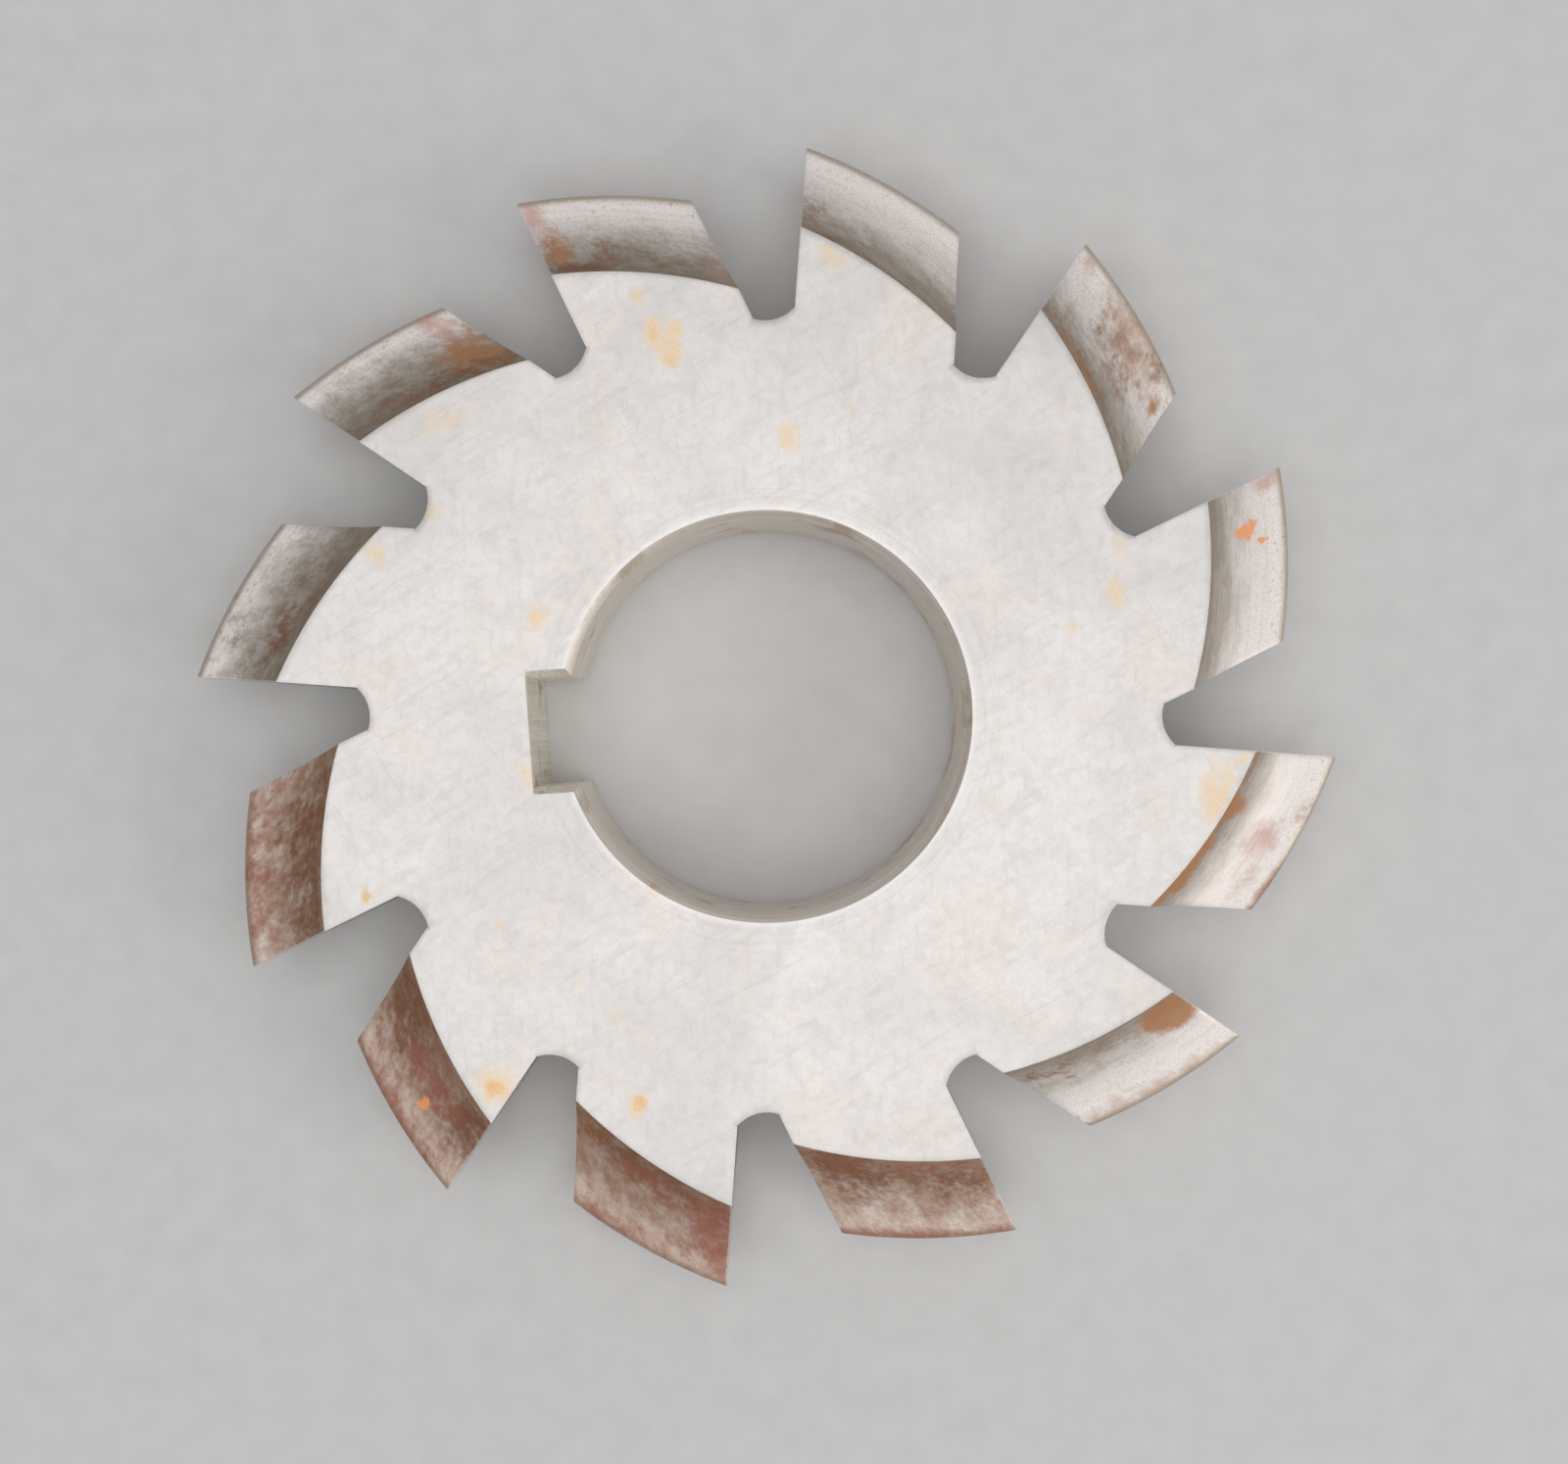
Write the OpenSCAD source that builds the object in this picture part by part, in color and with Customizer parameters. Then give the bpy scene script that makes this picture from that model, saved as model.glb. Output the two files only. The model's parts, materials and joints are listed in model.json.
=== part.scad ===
// Disc-type involute gear milling cutter with form-relieved teeth, for a keyed arbor.
// Origin on the bore axis, half way between the two side faces; +Z along the bore.
// The cutter is one solid. The hub and the teeth are regions of it that meet on flat seams.

/* [Blank] */
// Diameter over the tooth tips
outside_d = 65; // [62:1:70]
// Thickness between the two ground side faces
thickness = 8; // [7:0.5:9]

/* [Arbor bore] */
// Diameter of the bore
bore_d = 22; // [16:1:27]
// Width of the keyway
keyway_w = 6; // [4:0.5:8]
// Depth of the keyway below the bore wall, on its centre line
keyway_depth = 2.1; // [1.5:0.1:3.5]
// Direction of the keyway, anticlockwise from +X
keyway_angle = 180; // [0:1:360]
// Chamfer on the rims of the bore and of the side walls of the keyway
rim_chamfer = 0.4; // [0.1:0.1:0.8]

/* [Gullets] */
// Number of teeth
teeth = 12; // [11:1:12]
// Direction of the first rake face, anticlockwise from +X
first_rake_angle = 172; // [0:1:360]
// Distance from a tooth's radial rake face to its parallel back face
tooth_w = 9; // [8:0.1:9.5]
// Depth of the gullet where its floor meets the rake face
rake_depth = 9.8; // [9:0.1:10.5]
// Depth of the gullet where its floor meets the back face of the tooth ahead
back_depth = 10.5; // [10:0.1:11]
// Radius of the gullet's floor
floor_r = 2.2; // [2:0.1:3]

/* [Relief] */
// Clearance angle behind the tip of a tooth
relief_angle = 16; // [14:0.5:18]
// Radius of the relieved tip land, about an axis beside the bore axis
relief_r = 32.2; // [30:0.1:36]

/* [Tooth form] */
// Module of the gear that the cutter makes
gear_module = 2.5; // [2.3:0.05:2.75]
// Number of teeth of that gear
gear_teeth = 12; // [12:1:14]
// Pressure angle of that gear
pressure_angle = 20; // [18:0.5:22]
// Radius on the corners of the tip land
tip_round = 0.5; // [0.2:0.1:0.7]

/* [Hidden] */
$fn = 96;
// How far a cutting shape runs past the face that it cuts
over = 1;
// How far the straight side of the form runs on past the arc that ends it
side_lap = 0.1;
// Growth of a rounding circle, so that it crosses both of its sides instead of only touching them
round_fit = 1.004;
half_t = thickness / 2;
outside_r = outside_d / 2;
bore_r = bore_d / 2;
keyway_floor_x = bore_r + keyway_depth;
pitch_angle = 360 / teeth;

// Corners of the gullets, seen from a tooth whose rake face lies along +X
rake_corner = [outside_r - rake_depth, 0];
back_corner = [sqrt(pow(outside_r - back_depth, 2) - pow(tooth_w, 2)), -tooth_w];

// Arc of the gullet floor in front of that rake face, wide enough to span both of its corners
next_back_corner = turned(back_corner, pitch_angle);
floor_middle = (rake_corner + next_back_corner) / 2;
floor_chord = next_back_corner - rake_corner;
floor_span = norm(floor_chord);
floor_arc_r = max(floor_r, 0.6 * floor_span);
floor_outward = [floor_chord.y, -floor_chord.x] / floor_span;
floor_centre = floor_middle + floor_outward * sqrt(pow(floor_arc_r, 2) - pow(floor_span / 2, 2));

// Seam under a tooth, and how far its line runs on into the gullets at both ends
seam_direction = (rake_corner - back_corner) / norm(rake_corner - back_corner);
seam_lap = 0.1 * floor_span;
seam_ends = [back_corner - seam_lap * seam_direction, rake_corner + seam_lap * seam_direction];

// Axis that the relieved surfaces of that tooth turn about
relief_axis = [outside_r - relief_r * cos(relief_angle), relief_r * sin(relief_angle)];

// The gear that the cutter makes
pitch_r = gear_module * gear_teeth / 2;
base_r = pitch_r * cos(pressure_angle);
gear_tip_r = pitch_r + gear_module;
gear_root_r = pitch_r - 1.25 * gear_module;

// Flank of the form: one arc through three points of the involute, as [distance from relief axis, z]
flank_a = flank_point(base_r);
flank_b = flank_point(pitch_r);
flank_c = flank_point(gear_tip_r);
flank_centre = circle_centre(flank_a, flank_b, flank_c);
flank_r = norm(flank_a - flank_centre);
flank_edge = [flank_centre.x - sqrt(pow(flank_r, 2) - pow(flank_centre.y - half_t, 2)), half_t];

// From the arc a straight side leads to the rounded corner of the tip land
tip_slope = space_half_angle(base_r);
join_slope = tip_slope / 2;
flank_join = flank_centre - flank_r * [sin(join_slope), cos(join_slope)];
side_direction = [cos(tip_slope), -sin(tip_slope)];
side_outward = [sin(tip_slope), cos(tip_slope)];
side_start = flank_join - side_lap * side_direction;
tip_corner = flank_join + side_direction * (relief_r - flank_join.x) / cos(tip_slope);
round_setback = tip_round * (1 - sin(tip_slope)) / cos(tip_slope);
round_centre = tip_corner - round_setback * side_direction - tip_round * side_outward;

ground_grey = [0.86, 0.85, 0.83];
form_grey = [0.66, 0.60, 0.56];

function turned(p, a) = [p.x * cos(a) - p.y * sin(a), p.x * sin(a) + p.y * cos(a)];

// Involute function of an angle in degrees, in degrees
function inv(a) = tan(a) * 180 / PI - a;

// Half of the angle that the gear's tooth space fills at radius r
function space_half_angle(r) =
    180 / gear_teeth - (90 / gear_teeth + inv(pressure_angle) - inv(acos(min(1, base_r / r))));

// Distance from the relief axis to a point of the rake face at radius r of the cutter
function from_relief_axis(r) = norm([r - relief_axis.x, relief_axis.y]);

// Point of the form that cuts the gear's flank at gear radius r
function flank_point(r) = [
    from_relief_axis(outside_r + gear_root_r - r * cos(space_half_angle(r))),
    r * sin(space_half_angle(r))
];

// Centre of the circle through three points
function circle_centre(a, b, c) =
    let (
        d = 2 * (a.x * (b.y - c.y) + b.x * (c.y - a.y) + c.x * (a.y - b.y)),
        x = (a * a) * (b.y - c.y) + (b * b) * (c.y - a.y) + (c * c) * (a.y - b.y),
        y = (a * a) * (c.x - b.x) + (b * b) * (a.x - c.x) + (c * c) * (b.x - a.x)
    )
    [x / d, y / d];

// Side view of the hub: flat seams under the teeth and hollow gullet floors between them
module hub_outline() {
    difference() {
        polygon([
            for (i = [0 : teeth - 1])
                for (end = seam_ends)
                    turned(end, first_rake_angle + i * pitch_angle)
        ]);
        for (i = [0 : teeth - 1])
            rotate(first_rake_angle + i * pitch_angle)
                translate(floor_centre)
                    circle(r = floor_arc_r);
    }
}

// Bore with a chamfer at each end
module bore_space() {
    rim_r = bore_r + rim_chamfer + over;
    straight_z = half_t - rim_chamfer;
    end_z = half_t + over;
    rotate_extrude()
        polygon([
            [0, -end_z], [rim_r, -end_z], [bore_r, -straight_z],
            [bore_r, straight_z], [rim_r, end_z], [0, end_z]
        ]);
}

// Widening of the keyway between its side walls towards the +Z face; its floor stays straight
module keyway_flare() {
    low_z = half_t - rim_chamfer - over;
    high_z = half_t + over;
    narrow = keyway_w / 2 - over;
    wide = keyway_w / 2 + rim_chamfer + over;
    rotate([90, 0, 90])
        linear_extrude(keyway_floor_x)
            polygon([[-narrow, low_z], [narrow, low_z], [wide, high_z], [-wide, high_z]]);
}

module keyway_space() {
    rotate(keyway_angle) {
        translate([0, -keyway_w / 2, -half_t - over])
            cube([keyway_floor_x, keyway_w, thickness + 2 * over]);
        keyway_flare();
        mirror([0, 0, 1])
            keyway_flare();
    }
}

module hub() {
    color(ground_grey)
        difference() {
            linear_extrude(thickness, center = true)
                hub_outline();
            bore_space();
            keyway_space();
        }
}

// Waste outside the rounded corner of the tip land
module corner_waste() {
    reach = 2 * tip_round;
    difference() {
        translate(round_centre)
            polygon([[0, 0], [reach, 0], reach * (side_outward + [1, 0]), reach * side_outward]);
        translate(round_centre)
            circle(r = tip_round * round_fit);
    }
}

// Half section of the relieved form: disc side, hollow flanks and rounded tip land
module form_section() {
    upper = [[0, half_t], [flank_edge.x + over, half_t], side_start, tip_corner];
    lower = [for (i = [len(upper) - 1 : -1 : 0]) [upper[i].x, -upper[i].y]];
    difference() {
        polygon(concat(upper, lower));
        for (side = [0, 1])
            mirror([0, side]) {
                translate(flank_centre)
                    circle(r = flank_r);
                corner_waste();
            }
    }
}

module tooth(number) {
    color(form_grey)
        rotate(first_rake_angle + (number - 1) * pitch_angle)
            intersection() {
                linear_extrude(thickness + 2 * over, center = true)
                    polygon([
                        rake_corner, [outside_r + over, 0],
                        [outside_r + over, -tooth_w], back_corner
                    ]);
                translate(relief_axis)
                    rotate_extrude()
                        form_section();
            }
}

hub();
for (i = [1 : teeth]) tooth(i);
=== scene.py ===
import json
import math
from collections import namedtuple

import bmesh
import bpy
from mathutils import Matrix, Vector


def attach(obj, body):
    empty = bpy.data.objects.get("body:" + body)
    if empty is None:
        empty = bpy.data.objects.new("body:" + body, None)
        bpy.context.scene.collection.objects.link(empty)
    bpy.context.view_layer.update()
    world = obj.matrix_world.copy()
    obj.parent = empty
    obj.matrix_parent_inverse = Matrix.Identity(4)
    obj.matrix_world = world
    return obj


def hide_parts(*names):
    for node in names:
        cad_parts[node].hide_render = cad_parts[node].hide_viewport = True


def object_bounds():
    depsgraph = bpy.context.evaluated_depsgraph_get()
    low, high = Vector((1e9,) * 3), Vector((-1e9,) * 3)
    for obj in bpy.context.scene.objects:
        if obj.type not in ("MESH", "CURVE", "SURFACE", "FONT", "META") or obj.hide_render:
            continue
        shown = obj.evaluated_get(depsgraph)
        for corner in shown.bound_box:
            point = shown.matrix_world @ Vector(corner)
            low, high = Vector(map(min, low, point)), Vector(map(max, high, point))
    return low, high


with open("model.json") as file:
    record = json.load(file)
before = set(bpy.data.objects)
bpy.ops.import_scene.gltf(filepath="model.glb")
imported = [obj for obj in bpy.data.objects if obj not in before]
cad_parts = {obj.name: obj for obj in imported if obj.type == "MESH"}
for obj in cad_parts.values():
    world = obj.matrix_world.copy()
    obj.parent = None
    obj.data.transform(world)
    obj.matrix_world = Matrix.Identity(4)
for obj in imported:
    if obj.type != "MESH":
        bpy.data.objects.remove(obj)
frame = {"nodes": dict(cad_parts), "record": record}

# Looks of a disc-type involute gear milling cutter, as thirteen pieces that replace the nodes of its
# frame: the hub, and twelve form-relieved teeth. Lengths are in metres, and MM turns millimetres
# into them.

MM = 0.001

# Sizes that the frame gives
CAD_LOW, CAD_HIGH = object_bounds()
HALF_T = CAD_HIGH.z
MOUNTS = {mount["name"]: mount for mount in frame["record"]["mounts"]}
BORE_R = MOUNTS["arbor_bore"]["dims"]["r_mm"] * MM
KEYWAY_FLOOR = -MOUNTS["keyway"]["pos_m"][0]
TEETH = len(frame["nodes"]) - 1
OUTSIDE_R = max(v.co.xy.length for v in frame["nodes"]["tooth_01"].data.vertices)

# Sizes that the part's source gives
KEYWAY_W = 6 * MM
KEYWAY_ANGLE = math.radians(180)
RIM_CHAMFER = 0.4 * MM
FIRST_RAKE_ANGLE = math.radians(172)
TOOTH_W = 9 * MM
RAKE_DEPTH = 9.8 * MM
BACK_DEPTH = 10.5 * MM
FLOOR_R = 2.2 * MM
RELIEF_ANGLE = math.radians(16)
RELIEF_R = 32.2 * MM
GEAR_MODULE = 2.5 * MM
GEAR_TEETH = 12
PRESSURE_ANGLE = math.radians(20)
TIP_ROUND = 0.5 * MM

# Depth of a gear's tooth space below its pitch circle, in modules
DEDENDUM = 1.25
# Least radius of a gullet floor, as a share of the distance that it spans
FLOOR_SHARE = 0.6

PITCH_R = GEAR_MODULE * GEAR_TEETH / 2
BASE_R = PITCH_R * math.cos(PRESSURE_ANGLE)
ROOT_R = GEAR_MODULE * (GEAR_TEETH / 2 - DEDENDUM)
PITCH_ANGLE = math.tau / TEETH
RAKE_CORNER = Vector((OUTSIDE_R - RAKE_DEPTH, 0))
BACK_CORNER = Vector((math.sqrt((OUTSIDE_R - BACK_DEPTH) ** 2 - TOOTH_W**2), -TOOTH_W))
RELIEF_AXIS = Vector((
    OUTSIDE_R - RELIEF_R * math.cos(RELIEF_ANGLE),
    RELIEF_R * math.sin(RELIEF_ANGLE),
))

# Angles from the middle of the keyway to where its side walls meet the bore and its floor
MOUTH_ANGLE = math.asin(KEYWAY_W / 2 / BORE_R)
CORNER_ANGLE = math.atan2(KEYWAY_W / 2, KEYWAY_FLOOR)

# Grid of a tooth: cells on the side face, on the hollow flank, on its straight side and on the
# rounded corner, then cells through the thickness and from the rake face to the back face
DISC_CELLS = 10
FLANK_CELLS = 18
SIDE_CELLS = 2
ROUND_CELLS = 6
DEPTH_CELLS = 14
RELIEF_CELLS = 30

# Grid of the hub: cells along a gullet floor, and from the bore to the outline
FLOOR_CELLS = 12
RADIAL_CELLS = 20

# Sides of a block of cells: the start and the end of i, of j and of k
I_START, I_END, J_START, J_END, K_START, K_END = range(6)

# Materials of each piece, in the order of their slots
TOOTH_MATERIALS = ("ground", "form", "rake", "gullet")
HUB_MATERIALS = ("ground", "gullet", "bore", "keyway")

# Real edges are broken by this much, where two faces meet at more than the least angle
EDGE_BREAK = 0.035 * MM
EDGE_ANGLE = math.radians(25)

# Camera: its place above the upper side face, its turn about the bore axis and its focal length
CAMERA_X = 0.93 * MM
CAMERA_Y = -0.93 * MM
CAMERA_HEIGHT = 97.4 * MM
CAMERA_TURN = math.radians(-4)
CAMERA_LENS = 40.5

# Floor: half its width, and its gap to the cutter, without which the two faces would flicker
FLOOR_REACH = 1.2
FLOOR_GAP = 0.02 * MM


# ---------------------------------------------------------------- camera, floor and light

def make_camera():
    """Camera straight above the cutter, turned a little about the bore axis."""
    data = bpy.data.cameras.new("camera")
    data.lens = CAMERA_LENS
    data.sensor_width = 36
    data.clip_start = 1 * MM
    data.dof.use_dof = False
    camera = bpy.data.objects.new("camera", data)
    camera.location = (CAMERA_X, CAMERA_Y, HALF_T + CAMERA_HEIGHT)
    camera.rotation_euler = (0, 0, CAMERA_TURN)
    bpy.context.scene.collection.objects.link(camera)
    bpy.context.scene.camera = camera


def make_light(name, place, size, power, colour):
    """Square soft light that points at the origin."""
    data = bpy.data.lights.new(name, "AREA")
    data.shape = "SQUARE"
    data.size = size
    data.energy = power
    data.color = colour
    light = bpy.data.objects.new(name, data)
    light.location = place
    light.rotation_euler = (-Vector(place)).to_track_quat("-Z", "Y").to_euler()
    bpy.context.scene.collection.objects.link(light)


def make_surround():
    """Grey surround, a little darker on the left than on the right."""
    world = bpy.data.worlds.new("surround")
    world.use_nodes = True
    nodes, links = world.node_tree.nodes, world.node_tree.links
    direction = nodes.new("ShaderNodeSeparateXYZ")
    links.new(nodes.new("ShaderNodeTexCoord").outputs["Generated"], direction.inputs[0])
    strength = nodes.new("ShaderNodeMapRange")
    links.new(direction.outputs["X"], strength.inputs["Value"])
    for name, value in (("From Min", -1), ("From Max", 1), ("To Min", 0.27), ("To Max", 0.52)):
        strength.inputs[name].default_value = value
    background = nodes["Background"]
    background.inputs["Color"].default_value = (0.88, 0.87, 0.86, 1)
    links.new(strength.outputs["Result"], background.inputs["Strength"])
    bpy.context.scene.world = world


def make_studio():
    """Pale floor under the cutter, a grey surround and two soft lights."""
    mesh = bmesh.new()
    bmesh.ops.create_grid(mesh, x_segments=8, y_segments=8, size=FLOOR_REACH)
    for vert in mesh.verts:
        vert.co.z = CAD_LOW.z - FLOOR_GAP
    floor = finished_object("studio_floor", mesh, [floor_material()])
    make_surround()
    make_light(
        "overhead", place=(-0.03, -0.03, 0.42), size=0.50, power=0.88, colour=(0.99, 0.995, 1.0)
    )
    make_light(
        "side", place=(0.40, -0.22, 0.24), size=0.25, power=0.52, colour=(1.0, 0.97, 0.945)
    )
    bpy.context.scene.view_settings.view_transform = "Standard"


# ---------------------------------------------------------------- form of the cutter

def turned(point, angle):
    """A flat point turned about the bore axis."""
    c, s = math.cos(angle), math.sin(angle)
    return Vector((point.x * c - point.y * s, point.x * s + point.y * c))


def space_half_angle(r):
    """Half of the angle that the made gear's tooth space fills at gear radius r."""
    local = math.acos(min(1, BASE_R / r))
    involute = math.tan(local) - local
    at_pitch = math.tan(PRESSURE_ANGLE) - PRESSURE_ANGLE
    return math.pi / GEAR_TEETH - (math.pi / 2 / GEAR_TEETH + at_pitch - involute)


def flank_point(r):
    """Point of the flank at gear radius r, as distance from the relief axis and height."""
    angle = space_half_angle(r)
    from_bore = OUTSIDE_R + ROOT_R - r * math.cos(angle)
    reach = (Vector((from_bore, 0)) - RELIEF_AXIS).length
    return Vector((reach, r * math.sin(angle)))


def circle_centre(a, b, c):
    """Centre of the circle through three flat points."""
    d = 2 * (a.x * (b.y - c.y) + b.x * (c.y - a.y) + c.x * (a.y - b.y))
    aa, bb, cc = a.length_squared, b.length_squared, c.length_squared
    x = aa * (b.y - c.y) + bb * (c.y - a.y) + cc * (a.y - b.y)
    y = aa * (c.x - b.x) + bb * (a.x - c.x) + cc * (b.x - a.x)
    return Vector((x / d, y / d))


def arc_points(centre, radius, start, end, cells):
    """Points of an arc from one direction to another, without the first."""
    steps = [start + (end - start) * i / cells for i in range(1, cells + 1)]
    return [centre + radius * Vector((math.cos(a), math.sin(a))) for a in steps]


def flank_profile():
    """Upper half section of the relieved form, from the side face to the tip land."""
    a, b, c = flank_point(BASE_R), flank_point(PITCH_R), flank_point(PITCH_R + GEAR_MODULE)
    centre = circle_centre(a, b, c)
    radius = (a - centre).length
    tip_slope = space_half_angle(BASE_R)
    join_slope = tip_slope / 2
    drop = centre.y - HALF_T
    edge = Vector((centre.x - math.sqrt(radius**2 - drop**2), HALF_T))
    edge_angle = math.atan2(edge.y - centre.y, edge.x - centre.x)
    join_angle = -math.pi / 2 - join_slope
    hollow = arc_points(centre, radius, edge_angle, join_angle, FLANK_CELLS)
    along = Vector((math.cos(tip_slope), -math.sin(tip_slope)))
    outward = Vector((math.sin(tip_slope), math.cos(tip_slope)))
    corner = hollow[-1] + along * (RELIEF_R - hollow[-1].x) / math.cos(tip_slope)
    setback = TIP_ROUND * (1 - math.sin(tip_slope)) / math.cos(tip_slope)
    round_start = corner - setback * along
    side = [hollow[-1].lerp(round_start, i / SIDE_CELLS) for i in range(1, SIDE_CELLS + 1)]
    round_centre = round_start - TIP_ROUND * outward
    bend = arc_points(round_centre, TIP_ROUND, math.pi / 2 - tip_slope, 0, ROUND_CELLS)
    return [edge] + hollow + side + bend


def slice_x(reach, y):
    """Distance along the rake direction of a relieved surface, in the slice at y of a tooth."""
    return RELIEF_AXIS.x + math.sqrt(reach**2 - (RELIEF_AXIS.y - y) ** 2)


def seam_x(y):
    """The same for the flat seam between tooth and hub."""
    return RAKE_CORNER.x + (BACK_CORNER.x - RAKE_CORNER.x) * y / BACK_CORNER.y


def floor_arc():
    """Gullet floor from the rake face's foot to the back face ahead, in a tooth's own frame."""
    start, end = RAKE_CORNER, turned(BACK_CORNER, PITCH_ANGLE)
    chord = end - start
    radius = max(FLOOR_R, FLOOR_SHARE * chord.length)
    outward = Vector((chord.y, -chord.x)).normalized()
    centre = (start + end) / 2 + outward * math.sqrt(radius**2 - chord.length_squared / 4)
    first = math.atan2(start.y - centre.y, start.x - centre.x) % math.tau
    last = math.atan2(end.y - centre.y, end.x - centre.x) % math.tau
    return arc_points(centre, radius, first, last, FLOOR_CELLS)


def path_lengths(points):
    """Length of the path to each of its points."""
    lengths = [0.0]
    for a, b in zip(points, points[1:]):
        lengths.append(lengths[-1] + (b - a).length)
    return lengths


# ---------------------------------------------------------------- stains

# A kind of stain: its colour, how gradually it fades, how much it hides, how metallic and how
# rough it is, and how ragged noise makes its edges
Stain = namedtuple("Stain", "colour fade cover shine rough ragged")
STAIN_KINDS = {
    "veil": Stain((0.590, 0.410, 0.310), 0.8, 0.66, 0.50, 0.58, 0.8),
    "olive": Stain((0.245, 0.180, 0.115), 1.4, 0.80, 0.42, 0.60, 0.8),
    "film": Stain((0.365, 0.168, 0.094), 1.2, 0.82, 0.38, 0.62, 1.1),
    "brown": Stain((0.255, 0.112, 0.055), 1.1, 0.85, 0.25, 0.66, 1.1),
    "red": Stain((0.420, 0.155, 0.105), 1.0, 0.72, 0.30, 0.62, 0.9),
    "pink": Stain((0.640, 0.370, 0.310), 1.1, 0.68, 0.40, 0.60, 0.8),
    "ochre": Stain((0.500, 0.235, 0.100), 0.9, 0.90, 0.20, 0.66, 0.8),
    "orange": Stain((1.000, 0.430, 0.190), 0.5, 0.92, 0.10, 0.66, 1.0),
    "cream": Stain((0.900, 0.700, 0.480), 1.0, 0.85, 0.75, 0.48, 1.0),
    "spot": Stain((0.920, 0.560, 0.250), 0.8, 0.80, 0.70, 0.50, 0.8),
}

# Kinds on the side faces and on the flanks, from the lowest layer to the highest
FACE_KINDS = ("cream", "spot")
FLANK_KINDS = ("veil", "olive", "film", "ochre", "brown", "pink", "red", "orange")

# Length of a flank from the side face to the tip land, nearly, and the step in the noise, in
# millimetres, from one tooth to the next
FLANK_LENGTH = 6 * MM
TOOTH_STEP = 17.3

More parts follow.
